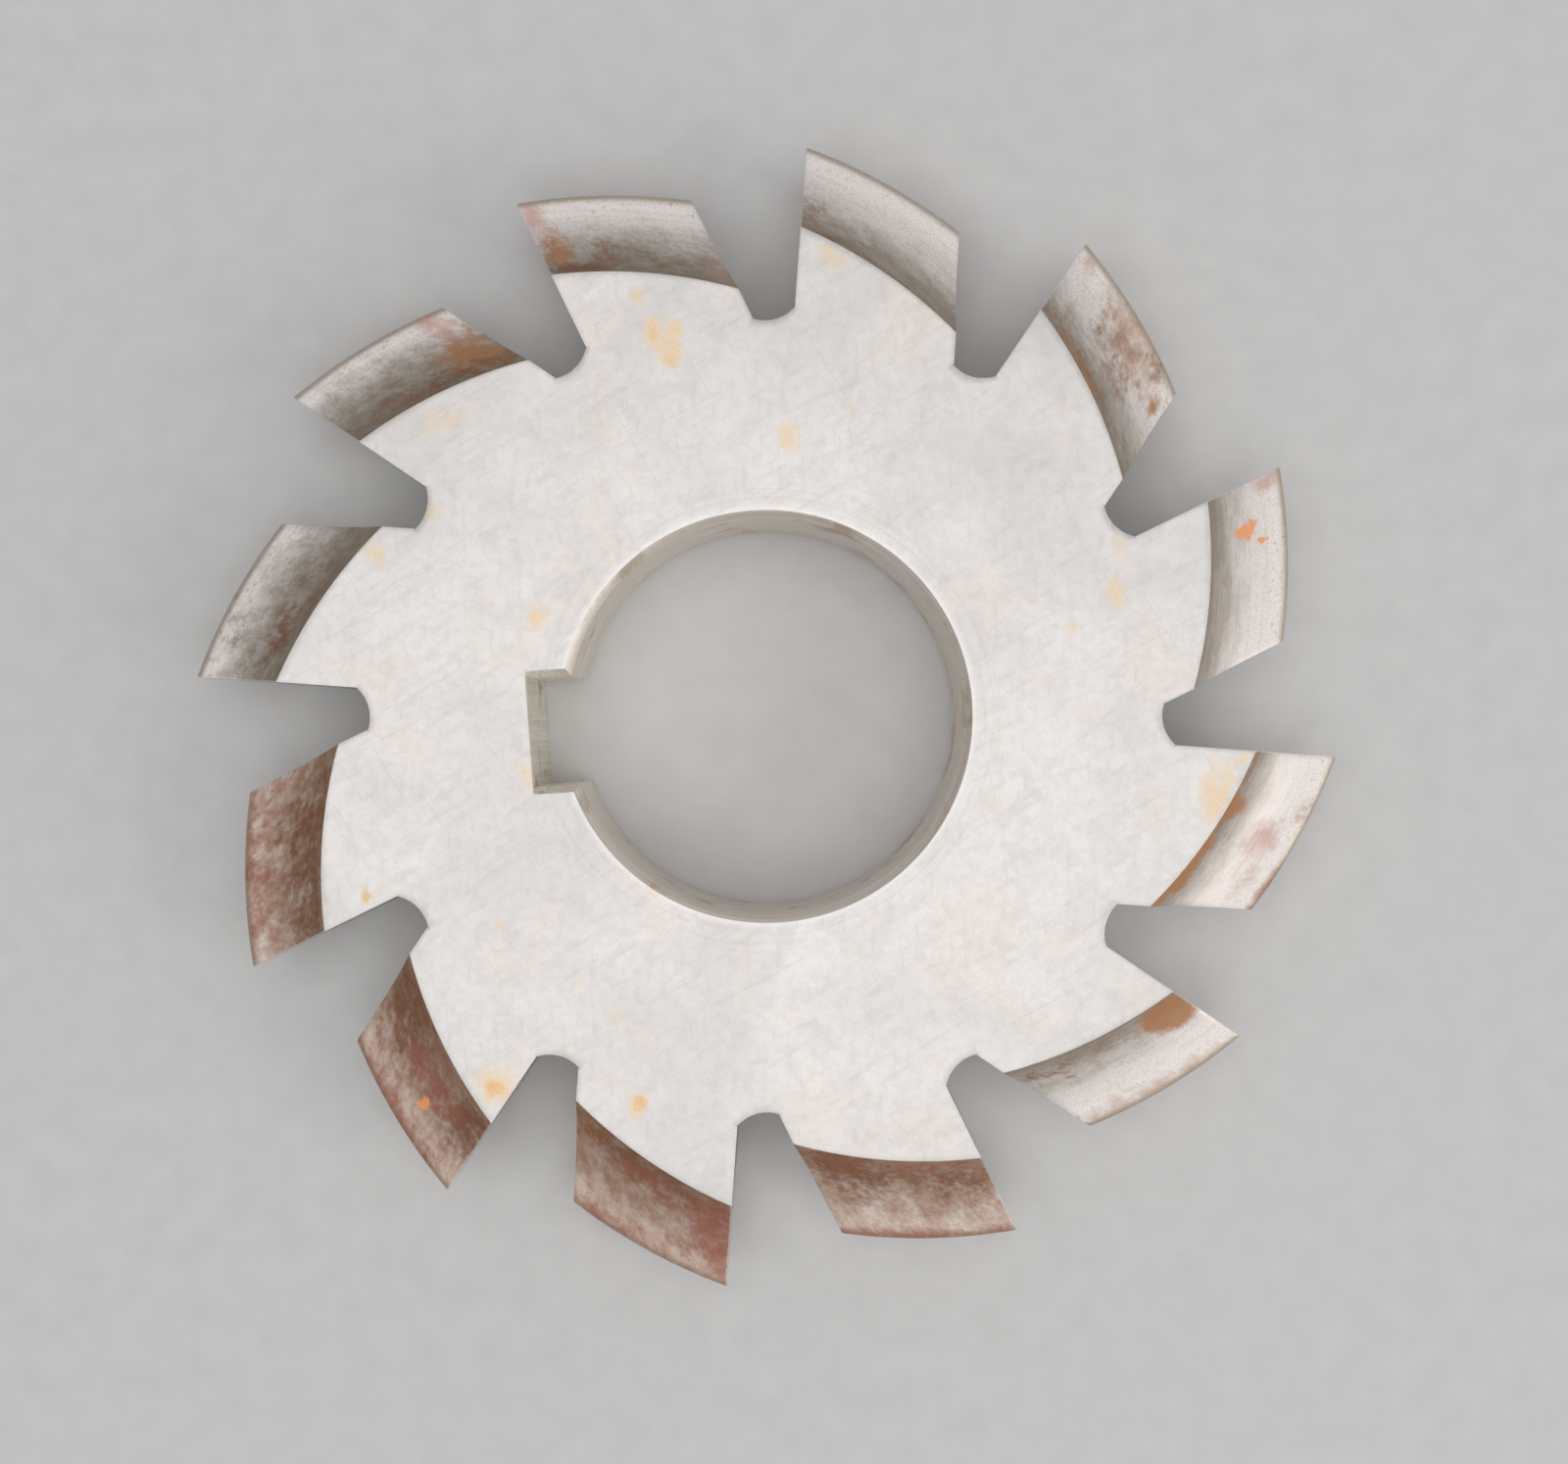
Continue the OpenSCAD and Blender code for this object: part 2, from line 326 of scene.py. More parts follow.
# Stains on the flank of each tooth: kind, way behind the rake face and across the flank from the
# side face to the tip, both from 0 to 1, half length and half width in the same measure, strength
FLANK_STAINS = {
    1: [("olive", 0.45, 0.26, 1.40, 0.60, 1.25), ("film", 0.40, 0.30, 0.50, 0.30, 0.6),
        ("brown", 0.32, 0.30, 0.26, 0.20, 0.8), ("film", 0.30, 0.80, 0.25, 0.16, 0.5)],
    2: [("veil", 0.50, 0.50, 2.00, 2.00, 1.1), ("film", 0.50, 0.35, 1.20, 0.75, 1.0),
        ("brown", 0.45, 0.20, 0.80, 0.30, 1.1), ("red", 0.55, 0.84, 0.45, 0.14, 0.9),
        ("brown", 0.68, 0.40, 0.20, 0.22, 1.0), ("ochre", 0.98, 0.45, 0.12, 0.40, 0.6)],
    3: [("veil", 0.50, 0.50, 2.00, 2.00, 1.3), ("film", 0.50, 0.24, 1.30, 0.76, 1.1),
        ("brown", 0.08, 0.35, 0.25, 0.35, 1.1), ("red", 0.45, 0.42, 0.30, 0.16, 1.2),
        ("brown", 0.82, 0.28, 0.25, 0.40, 1.2), ("red", 0.60, 0.92, 0.50, 0.10, 1.1),
        ("orange", 0.42, 0.64, 0.025, 0.05, 1.3), ("orange", 0.45, 0.69, 0.020, 0.035, 1.2)],
    4: [("veil", 0.50, 0.50, 2.00, 2.00, 1.3), ("film", 0.45, 0.20, 1.30, 0.74, 1.1),
        ("red", 0.06, 0.45, 0.22, 0.50, 1.2), ("brown", 0.55, 0.13, 0.60, 0.24, 1.1),
        ("red", 0.45, 0.30, 0.35, 0.20, 0.8), ("ochre", 0.92, 0.16, 0.15, 0.26, 0.8),
        ("red", 0.75, 0.92, 0.30, 0.10, 1.0)],
    5: [("veil", 0.50, 0.40, 2.00, 1.60, 1.1), ("film", 0.50, 0.20, 1.30, 0.60, 1.1),
        ("brown", 0.24, 0.32, 0.24, 0.22, 0.9), ("brown", 0.76, 0.24, 0.26, 0.30, 1.2),
        ("red", 0.55, 0.95, 0.60, 0.10, 1.2), ("red", 0.50, 0.12, 0.60, 0.14, 0.8)],
    6: [("ochre", 0.13, 0.26, 0.17, 0.24, 1.7), ("film", 0.65, 0.20, 0.45, 0.28, 0.7),
        ("brown", 0.82, 0.22, 0.16, 0.22, 0.5), ("veil", 0.60, 0.94, 0.60, 0.16, 0.9)],
    7: [("ochre", 0.36, 0.08, 0.09, 0.20, 1.4), ("ochre", 0.60, 0.05, 0.10, 0.12, 1.3),
        ("ochre", 0.78, 0.03, 0.26, 0.14, 1.5), ("ochre", 0.86, 0.10, 0.10, 0.14, 1.2),
        ("film", 0.20, 0.06, 0.40, 0.10, 0.9), ("pink", 0.55, 0.64, 0.15, 0.16, 1.2),
        ("pink", 0.82, 0.72, 0.10, 0.12, 0.9), ("red", 0.36, 0.88, 0.10, 0.10, 0.7),
        ("red", 0.88, 0.94, 0.22, 0.08, 1.0), ("ochre", 0.03, 0.04, 0.05, 0.10, 1.0)],
    8: [("orange", 0.27, 0.52, 0.030, 0.10, 1.4), ("orange", 0.25, 0.61, 0.026, 0.05, 1.3),
        ("orange", 0.31, 0.57, 0.022, 0.04, 1.1), ("orange", 0.37, 0.70, 0.022, 0.05, 1.2),
        ("pink", 0.04, 0.80, 0.07, 0.16, 1.3), ("film", 0.50, 0.00, 0.60, 0.06, 0.6)],
    9: [("olive", 0.50, 0.12, 1.40, 0.40, 0.90), ("film", 0.56, 0.60, 0.26, 0.28, 0.85),
        ("brown", 0.82, 0.88, 0.22, 0.12, 0.6),
        ("veil", 0.60, 0.78, 0.32, 0.24, 1.1), ("film", 0.25, 0.10, 0.50, 0.16, 0.9),
        ("ochre", 0.50, 0.03, 0.10, 0.08, 1.0), ("ochre", 0.28, 0.07, 0.14, 0.10, 0.8),
        ("pink", 0.10, 0.86, 0.08, 0.12, 1.0), ("ochre", 0.92, 0.70, 0.04, 0.14, 0.8)],
    10: [("olive", 0.50, 0.12, 1.40, 0.40, 0.95), ("brown", 0.15, 0.04, 0.10, 0.08, 1.1),
         ("film", 0.05, 0.30, 0.10, 0.34, 0.8), ("film", 0.35, 0.98, 0.50, 0.05, 0.7),
         ("film", 0.45, 0.02, 0.30, 0.10, 0.6)],
    11: [("ochre", 0.11, 0.38, 0.10, 0.26, 1.1), ("pink", 0.05, 0.76, 0.08, 0.20, 1.3),
         ("brown", 0.20, 0.08, 0.20, 0.14, 1.3), ("olive", 0.60, 0.26, 0.90, 0.40, 1.15),
         ("film", 0.36, 0.34, 0.12, 0.20, 0.7), ("film", 0.70, 0.20, 0.16, 0.14, 0.7),
         ("pink", 0.95, 0.20, 0.08, 0.20, 0.9)],
    12: [("olive", 0.50, 0.24, 1.40, 0.56, 1.35), ("film", 0.36, 0.24, 0.40, 0.22, 0.7),
         ("ochre", 0.84, 0.34, 0.18, 0.32, 1.0), ("brown", 0.70, 0.14, 0.34, 0.20, 0.8),
         ("pink", 0.88, 0.80, 0.08, 0.22, 1.3), ("ochre", 0.97, 0.60, 0.05, 0.20, 0.9)],
}

# On the underside, the side face has the stains of the upper one, mirrored and turned by an angle,
# and a tooth's flank has those of the upper flank that is this many teeth further on
UNDERSIDE_TURN = math.radians(100)
UNDERSIDE_SHIFT = 5

# What a point that isn't on a flank has as its way round and across a flank
OFF_FLANK = -0.1

# Stains on the upper side face: kind, place in millimetres, half sizes in millimetres, strength
FACE_STAINS = [
    ("cream", -4.7, 21.6, 0.6, 0.9, 1.6), ("spot", -4.7, 21.5, 0.4, 0.6, 0.8),
    ("cream", -3.9, 20.4, 0.7, 0.9, 1.6), ("spot", -3.8, 19.9, 0.4, 0.5, 0.8),
    ("cream", -3.6, 21.6, 0.5, 0.9, 1.3), ("cream", -5.5, 23.7, 0.5, 0.8, 0.9),
    ("cream", 19.8, 5.4, 0.7, 0.9, 1.2), ("cream", 20.2, 7.9, 0.5, 0.7, 0.9),
    ("cream", 24.7, -6.5, 1.1, 2.2, 1.3), ("cream", 26.4, -4.2, 0.7, 0.7, 1.1),
    ("spot", -16.5, -19.5, 0.6, 0.5, 1.1), ("cream", -16.4, -19.3, 1.3, 1.2, 1.2),
    ("cream", -8.6, -21.0, 0.6, 0.8, 1.2), ("spot", -8.4, -20.8, 0.4, 0.6, 1.1),
    ("spot", -22.7, -8.4, 0.35, 0.45, 1.2),
    ("cream", -17.7, 12.7, 0.8, 0.6, 1.0), ("cream", -20.8, 10.5, 0.8, 1.0, 0.9),
    ("cream", 2.3, 15.4, 0.7, 1.2, 1.0), ("cream", -12.2, 6.3, 0.6, 0.9, 1.0),
    ("cream", 17.0, 3.7, 0.7, 0.6, 0.9), ("cream", -11.4, -13.8, 0.5, 0.6, 1.0),
    ("cream", -15.5, -10.5, 0.4, 0.4, 1.1), ("cream", 5.5, 25.2, 1.0, 0.9, 0.9),
    ("cream", -9.4, -16.1, 0.5, 0.5, 0.8), ("cream", -16.8, 17.5, 1.8, 1.0, 0.7),
    ("cream", -13.4, -2.4, 0.45, 0.9, 1.1), ("cream", -7.0, -9.2, 0.5, 0.4, 0.9),
    ("cream", 5.9, 16.7, 0.7, 0.5, 0.7), ("cream", 8.2, -20.0, 0.6, 0.6, 0.7),
    ("cream", 0.0, -17.0, 0.5, 0.9, 0.6),
]


def bump_weight(x, y, half_x, half_y):
    """Height at (x, y) of a mound: 1 in its middle, and one half at its half sizes."""
    away = (x / half_x) ** 2 + (y / half_y) ** 2
    return max(0.0, 1 - away / 2)


def stain_weights(stains, x, y):
    """Strength of each kind of stain at (x, y), for a list of stains."""
    weights = dict.fromkeys(STAIN_KINDS, 0.0)
    for kind, centre_x, centre_y, half_x, half_y, strength in stains:
        weight = strength * bump_weight(x - centre_x, y - centre_y, half_x, half_y)
        weights[kind] = max(weights[kind], weight)
    return weights


def face_weights(place):
    """Stains of a side face. The lower face has the upper one's, mirrored and turned."""
    spot = Vector((place.x, place.y)) / MM
    if place.z < 0:
        spot = turned(Vector((-spot.x, spot.y)), UNDERSIDE_TURN)
    return stain_weights(FACE_STAINS, spot.x, spot.y)


def flank_weights(number, along, across, down):
    """Stains of a tooth, from its upper flank, where down is 0, to its lower one, where it is 1."""
    other = (number - 1 + UNDERSIDE_SHIFT) % TEETH + 1
    upper = stain_weights(FLANK_STAINS[number], along, across)
    lower = stain_weights(FLANK_STAINS[other], along, across)
    return {kind: upper[kind] * (1 - down) + lower[kind] * down for kind in STAIN_KINDS}


# ---------------------------------------------------------------- meshes

def grid_block(cells, place, ring=False):
    """Outer faces of a block of cells whose corners place(i, j, k) puts in space. As a ring, the
    block closes on itself along k. Each face keeps the corner it starts at, and its side."""
    mesh = bmesh.new()
    side_layer = mesh.faces.layers.int.new("side")
    start_layers = [mesh.faces.layers.int.new(name) for name in "ijk"]
    corners = {}

    def corner(key):
        if ring:
            key = (key[0], key[1], key[2] % cells[2])
        if key not in corners:
            corners[key] = mesh.verts.new(place(*key))
        return corners[key]

    for axis in range(2 if ring else 3):
        across, onward = (axis + 1) % 3, (axis + 2) % 3
        for at_end in (False, True):
            for u in range(cells[across]):
                for v in range(cells[onward]):
                    keys = []
                    for du, dv in ((0, 0), (1, 0), (1, 1), (0, 1)):
                        key = [0, 0, 0]
                        key[axis] = cells[axis] if at_end else 0
                        key[across] = u + du
                        key[onward] = v + dv
                        keys.append(tuple(key))
                    face = mesh.faces.new([corner(key) for key in keys])
                    face[side_layer] = 2 * axis + at_end
                    for layer, start in zip(start_layers, keys[0]):
                        face[layer] = start
    bmesh.ops.recalc_face_normals(mesh, faces=mesh.faces)
    return mesh, corners


def write_attributes(piece, corners, measure):
    """Stores measure(i, j, k), a dictionary of numbers, on the corners of a block. The corners
    are in the order in which they were made, which is that of the piece's points."""
    rows = [measure(*key) for key in corners]
    for name in rows[0]:
        attribute = piece.data.attributes.new(name, "FLOAT", "POINT")
        attribute.data.foreach_set("value", [row[name] for row in rows])


def finished_object(name, mesh, materials):
    """Object of a bmesh, linked to the scene."""
    data = bpy.data.meshes.new(name)
    mesh.to_mesh(data)
    mesh.free()
    for material in materials:
        data.materials.append(material)
    made = bpy.data.objects.new(name, data)
    bpy.context.scene.collection.objects.link(made)
    return made


def paint_faces(mesh, names, choose):
    """Gives each face the slot of the material that choose(face) names."""
    for face in mesh.faces:
        face.material_index = names.index(choose(face))


def break_edges(mesh, is_seam):
    """Gives the convex real edges a weight for the bevel. Hollow ones and those of a seam are
    sharp instead."""
    side_layer = mesh.faces.layers.int["side"]
    weights = mesh.edges.layers.float.new("bevel_weight_edge")
    for face in mesh.faces:
        face.smooth = True
    for edge in mesh.edges:
        if edge.calc_face_angle(0) > EDGE_ANGLE:
            at_seam = any(is_seam(face) for face in edge.link_faces)
            edge.smooth = edge.is_convex and not at_seam
            edge[weights] = 1 if edge.smooth else 0


def add_edge_modifiers(piece):
    """Narrow bevel on the real edges, and normals that keep the flat faces flat."""
    bevel = piece.modifiers.new("edge_break", "BEVEL")
    bevel.limit_method = "WEIGHT"
    bevel.width = EDGE_BREAK
    bevel.segments = 2
    bevel.use_clamp_overlap = True
    normals = piece.modifiers.new("flat_faces", "WEIGHTED_NORMAL")
    normals.keep_sharp = True


def make_tooth(number, materials):
    """One form-relieved tooth with its own stains."""
    profile = flank_profile()
    out_cells = DISC_CELLS + len(profile) - 1
    rake_angle = FIRST_RAKE_ANGLE + (number - 1) * PITCH_ANGLE
    lengths = path_lengths(profile)

    def place(i, j, k):
        y = -TOOTH_W * k / RELIEF_CELLS
        if i < DISC_CELLS:
            edge_x = slice_x(profile[0].x, y)
            x = seam_x(y) + (edge_x - seam_x(y)) * i / DISC_CELLS
            half = HALF_T
        else:
            reach, half = profile[i - DISC_CELLS]
            x = slice_x(reach, y)
        flat = turned(Vector((x, y)), rake_angle)
        return Vector((flat.x, flat.y, half * (1 - 2 * j / DEPTH_CELLS)))

    def measure(i, j, k):
        """Way along the tooth from the rake face (0) to the back face (1), way around it from the
        upper side face over the tip to the lower one, way across the flank from the nearer side
        face, both with a flank's own length as 1, the tooth's number, and its stains."""
        along, down = k / RELIEF_CELLS, j / DEPTH_CELLS
        if i < DISC_CELLS:
            stains = face_weights(place(i, j, k))
            ways = {"along": along, "around": OFF_FLANK, "across": OFF_FLANK}
            return {**ways, "number": number, **stains}
        across = lengths[i - DISC_CELLS] / lengths[-1]
        land = 2 * profile[-1].y / lengths[-1]
        around = across + (2 + land - 2 * across) * down
        if i == out_cells:
            across += land * min(down, 1 - down)
        stains = flank_weights(number, along, across, down)
        return {"along": along, "around": around, "across": across, "number": number, **stains}

    mesh, corners = grid_block((out_cells, DEPTH_CELLS, RELIEF_CELLS), place)
    side_layer, i_layer = mesh.faces.layers.int["side"], mesh.faces.layers.int["i"]

    def material_of(face):
        side = face[side_layer]
        if side in (J_START, J_END):
            return "ground" if face[i_layer] < DISC_CELLS else "form"
        return {I_START: "ground", I_END: "form", K_START: "rake", K_END: "gullet"}[side]

    paint_faces(mesh, TOOTH_MATERIALS, material_of)
    break_edges(mesh, lambda face: face[side_layer] == I_START)
    name = f"tooth_{number:02d}"
    tooth = finished_object(f"cutter_{name}", mesh, [materials[m] for m in TOOTH_MATERIALS])
    write_attributes(tooth, corners, measure)
    add_edge_modifiers(tooth)
    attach(tooth, "root")
    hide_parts(name)


def hub_outline():
    """Outer outline of the hub, anticlockwise: points, and whether each starts a gullet floor."""
    points = []
    floor = floor_arc()
    for tooth in range(TEETH):
        angle = FIRST_RAKE_ANGLE + tooth * PITCH_ANGLE
        for k in range(RELIEF_CELLS):
            y = BACK_CORNER.y * (1 - k / RELIEF_CELLS)
            points.append((turned(Vector((seam_x(y), y)), angle), False))
        points.append((turned(RAKE_CORNER, angle), True))
        points.extend((turned(point, angle), True) for point in floor[:-1])
    return points


def from_keyway(point):
    """Angle of a point about the bore axis, from the middle of the keyway and below half a turn."""
    angle = math.atan2(point.y, point.x) - KEYWAY_ANGLE
    return (angle + math.pi) % math.tau - math.pi


def bore_outline(angle, widen):
    """Point of the bore and keyway outline at an angle from the keyway, made larger by widen at
    all but the keyway's floor. A point on the round bore, on a side wall or on the floor stays on
    it as widen grows."""
    half_w, wide_half_w = KEYWAY_W / 2, KEYWAY_W / 2 + widen
    wide_mouth_angle = math.asin(wide_half_w / (BORE_R + widen))
    side, sign = abs(angle), math.copysign(1, angle)
    if side >= MOUTH_ANGLE:
        share = (side - MOUTH_ANGLE) / (math.pi - MOUTH_ANGLE)
        wide = wide_mouth_angle + share * (math.pi - wide_mouth_angle)
        return (BORE_R + widen) * Vector((math.cos(wide), sign * math.sin(wide)))
    if side > CORNER_ANGLE:
        mouth_x = BORE_R * math.cos(MOUTH_ANGLE)
        wide_mouth_x = (BORE_R + widen) * math.cos(wide_mouth_angle)
        share = (half_w / math.tan(side) - mouth_x) / (KEYWAY_FLOOR - mouth_x)
        x = wide_mouth_x + share * (KEYWAY_FLOOR - wide_mouth_x)
        return Vector((x, sign * wide_half_w))
    share = KEYWAY_FLOOR * math.tan(side) / half_w
    return Vector((KEYWAY_FLOOR, sign * share * wide_half_w))


def bore_angles(outline):
    """Angle from the keyway at which each point of the hub's outline has its partner on the bore.
    The ones nearest to the keyway's corners are moved onto them."""
    angles = [from_keyway(point) for point, _ in outline]
    for corner in (MOUTH_ANGLE, CORNER_ANGLE):
        for mark in (-corner, corner):
            nearest = min(range(len(angles)), key=lambda k: abs(angles[k] - mark))
            angles[nearest] = mark
    return angles


def hub_levels():
    """Heights of the hub's rows: the side faces, then even steps between the two chamfers."""
    straight = HALF_T - RIM_CHAMFER
    inner_cells = DEPTH_CELLS - 2
    inner = [straight - 2 * straight * j / inner_cells for j in range(1, inner_cells)]
    return [HALF_T, straight, *inner, -straight, -HALF_T]


def make_hub(materials):
    """The hub with its bore, keyway and gullet floors."""
    outline = hub_outline()
    angles = bore_angles(outline)
    levels = hub_levels()

    def place(i, j, k):
        widen = RIM_CHAMFER if j in (0, DEPTH_CELLS) else 0
        inner = turned(bore_outline(angles[k], widen), KEYWAY_ANGLE)
        flat = inner.lerp(outline[k][0], i / RADIAL_CELLS)
        return Vector((flat.x, flat.y, levels[j]))

    def measure(i, j, k):
        ways = {"along": 0.0, "around": OFF_FLANK, "across": OFF_FLANK}
        return {**ways, "number": 0, **face_weights(place(i, j, k))}

    mesh, corners = grid_block((RADIAL_CELLS, DEPTH_CELLS, len(outline)), place, ring=True)
    side_layer, k_layer = mesh.faces.layers.int["side"], mesh.faces.layers.int["k"]

    def on_seam(face):
        return face[side_layer] == I_END and not outline[face[k_layer]][1]

    def material_of(face):
        if face[side_layer] == I_END and not on_seam(face):
            return "gullet"
        if face[side_layer] == I_START:
            in_keyway = abs(from_keyway(face.calc_center_median())) < MOUTH_ANGLE
            return "keyway" if in_keyway else "bore"
        return "ground"

    paint_faces(mesh, HUB_MATERIALS, material_of)
    break_edges(mesh, on_seam)
    hub = finished_object("cutter_hub", mesh, [materials[m] for m in HUB_MATERIALS])
    write_attributes(hub, corners, measure)
    add_edge_modifiers(hub)
    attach(hub, "root")
    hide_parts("hub")


# ---------------------------------------------------------------- materials

class Shader:
    """Node tree of one material, with short ways to add nodes. Lengths in it are millimetres."""

    def __init__(self, name):
        self.material = bpy.data.materials.new(name)
        self.material.use_nodes = True
        self.tree = self.material.node_tree
        self.shader = self.tree.nodes["Principled BSDF"]
        coordinates = self.tree.nodes.new("ShaderNodeTexCoord")
        self.place = self.vector("SCALE", coordinates.outputs["Object"], factor=1 / MM)

    def node(self, kind, **settings):
        made = self.tree.nodes.new(kind)
        for name, value in settings.items():
            setattr(made, name, value)
        return made

    def feed(self, socket, value):
        """Links an output to a socket, or sets the socket to a constant."""
        if isinstance(value, bpy.types.NodeSocket):
            self.tree.links.new(value, socket)
        elif isinstance(value, tuple) and len(value) == 3 and socket.type == "RGBA":
            socket.default_value = (*value, 1)
        else:
            socket.default_value = value

    def math(self, operation, a, b):
        made = self.node("ShaderNodeMath", operation=operation)
        self.feed(made.inputs[0], a)
        self.feed(made.inputs[1], b)
        return made.outputs[0]

    def vector(self, operation, a, b=None, factor=None):
        made = self.node("ShaderNodeVectorMath", operation=operation)
        self.feed(made.inputs[0], a)
        if b is not None:
            self.feed(made.inputs[1], b)
        if factor is not None:
            self.feed(made.inputs["Scale"], factor)
        return made.outputs["Vector"]

    def from_axis(self):
        """Distance from the bore axis."""
        made = self.node("ShaderNodeVectorMath", operation="LENGTH")
        self.feed(made.inputs[0], self.vector("MULTIPLY", self.place, (1, 1, 0)))
        return made.outputs["Value"]

    def join(self, x, y, z):
        made = self.node("ShaderNodeCombineXYZ")
        for socket, value in zip(made.inputs, (x, y, z)):
            self.feed(socket, value)
        return made.outputs[0]

    def attribute(self, name):
        return self.node("ShaderNodeAttribute", attribute_name=name).outputs["Fac"]

    def noise(self, vector, scale, detail=4.0, roughness=0.55, distortion=0.0):
        made = self.node("ShaderNodeTexNoise")
        self.feed(made.inputs["Vector"], vector)
        for name, value in (("Scale", scale), ("Detail", detail), ("Roughness", roughness)):
            made.inputs[name].default_value = value
        made.inputs["Distortion"].default_value = distortion
        return made.outputs["Fac"]

    def ramp(self, value, low, high, bottom=0.0, top=1.0):
        """Value moved smoothly from the range low to high into the range bottom to top."""
        made = self.node("ShaderNodeMapRange", interpolation_type="SMOOTHSTEP")
        for name, given in (("Value", value), ("From Min", low), ("From Max", high),
                            ("To Min", bottom), ("To Max", top)):
            self.feed(made.inputs[name], given)
        return made.outputs["Result"]

    def mix(self, share, a, b):
        """Mix of two colours. The node's own sockets for colours are 6, 7 and output 2."""
        made = self.node("ShaderNodeMix", data_type="RGBA")
        self.feed(made.inputs["Factor"], share)
        self.feed(made.inputs[6], a)
        self.feed(made.inputs[7], b)
        return made.outputs[2]

    def mix_value(self, share, a, b):
        """Mix of two numbers. The node's own sockets for numbers are 2, 3 and output 0."""
        made = self.node("ShaderNodeMix", data_type="FLOAT")
        self.feed(made.inputs["Factor"], share)
        self.feed(made.inputs[2], a)
        self.feed(made.inputs[3], b)
        return made.outputs[0]

    def stretched(self, angle, length, width):
        """Coordinates in which noise makes streaks of that length and width, at an angle."""
        turn = self.node("ShaderNodeMapping", vector_type="TEXTURE")
        self.feed(turn.inputs["Vector"], self.place)
        turn.inputs["Rotation"].default_value = (0, 0, math.radians(angle))
        turn.inputs["Scale"].default_value = (length, width, width)
        return turn.outputs[0]

    def finish(self, colour, roughness, metallic, height, depth):
        """Feeds the shader. Height is relief between 0 and 1, and depth its size in millimetres."""
        self.feed(self.shader.inputs["Base Color"], colour)
        self.feed(self.shader.inputs["Roughness"], roughness)
        self.feed(self.shader.inputs["Metallic"], metallic)
        bump = self.node("ShaderNodeBump")
        bump.inputs["Strength"].default_value = 1.0
        bump.inputs["Distance"].default_value = depth * MM
        self.feed(bump.inputs["Height"], height)
        self.feed(self.shader.inputs["Normal"], bump.outputs[0])
        return self.material


# Parts of the coarse, the middle and the fine noise in the edges of the stains
COARSE_SHARE = 1.8
MIDDLE_SHARE = 1.1
FINE_SHARE = 0.6

# Strength at which a stain starts to show, strength under which it fades out in any noise, and
# brightness of its dark grains beside its own colour
STAIN_START = 0.3
STAIN_EDGE = 0.25
DARK_SHARE = 0.8


def add_stains(shader, place, colour, roughness, metallic, kinds):
    """Lays the stains that the mesh carries over a surface, with edges broken up by noise."""
    coarse = shader.noise(place, 1.0, 6.0, 0.62, 0.1)
    middle = shader.noise(place, 3.1, 4.0, 0.6)
    fine = shader.noise(place, 9.0, 4.0, 0.7)
    breakup = shader.math("MULTIPLY", coarse, COARSE_SHARE)
    breakup = shader.math("ADD", breakup, shader.math("MULTIPLY", middle, MIDDLE_SHARE))
    breakup = shader.math("ADD", breakup, shader.math("MULTIPLY", fine, FINE_SHARE))
    breakup = shader.math("SUBTRACT", breakup, (COARSE_SHARE + MIDDLE_SHARE + FINE_SHARE) / 2)
    for kind in kinds:
        stain = STAIN_KINDS[kind]
        weight = shader.attribute(kind)
        reach = shader.math("ADD", weight, shader.math("MULTIPLY", breakup, stain.ragged))
        share = shader.ramp(reach, STAIN_START, STAIN_START + stain.fade, 0.0, stain.cover)
        share = shader.math("MULTIPLY", share, shader.ramp(weight, 0.0, STAIN_EDGE))
        dark = tuple(DARK_SHARE * part for part in stain.colour)
        patch = shader.mix(shader.ramp(fine, 0.3, 0.6), dark, stain.colour)
        colour = shader.mix(share, colour, patch)
        roughness = shader.mix_value(share, roughness, stain.rough)
        metallic = shader.mix_value(share, metallic, stain.shine)
    return colour, roughness, metallic


def scratches(shader, angle, length, width, low, high):
    """Sparse straight scratches in one direction, as a mask from 0 to 1."""
    lines = shader.noise(shader.stretched(angle, length, width), 1.0, 2.0, 0.5, 0.15)
    return shader.ramp(lines, low, high)


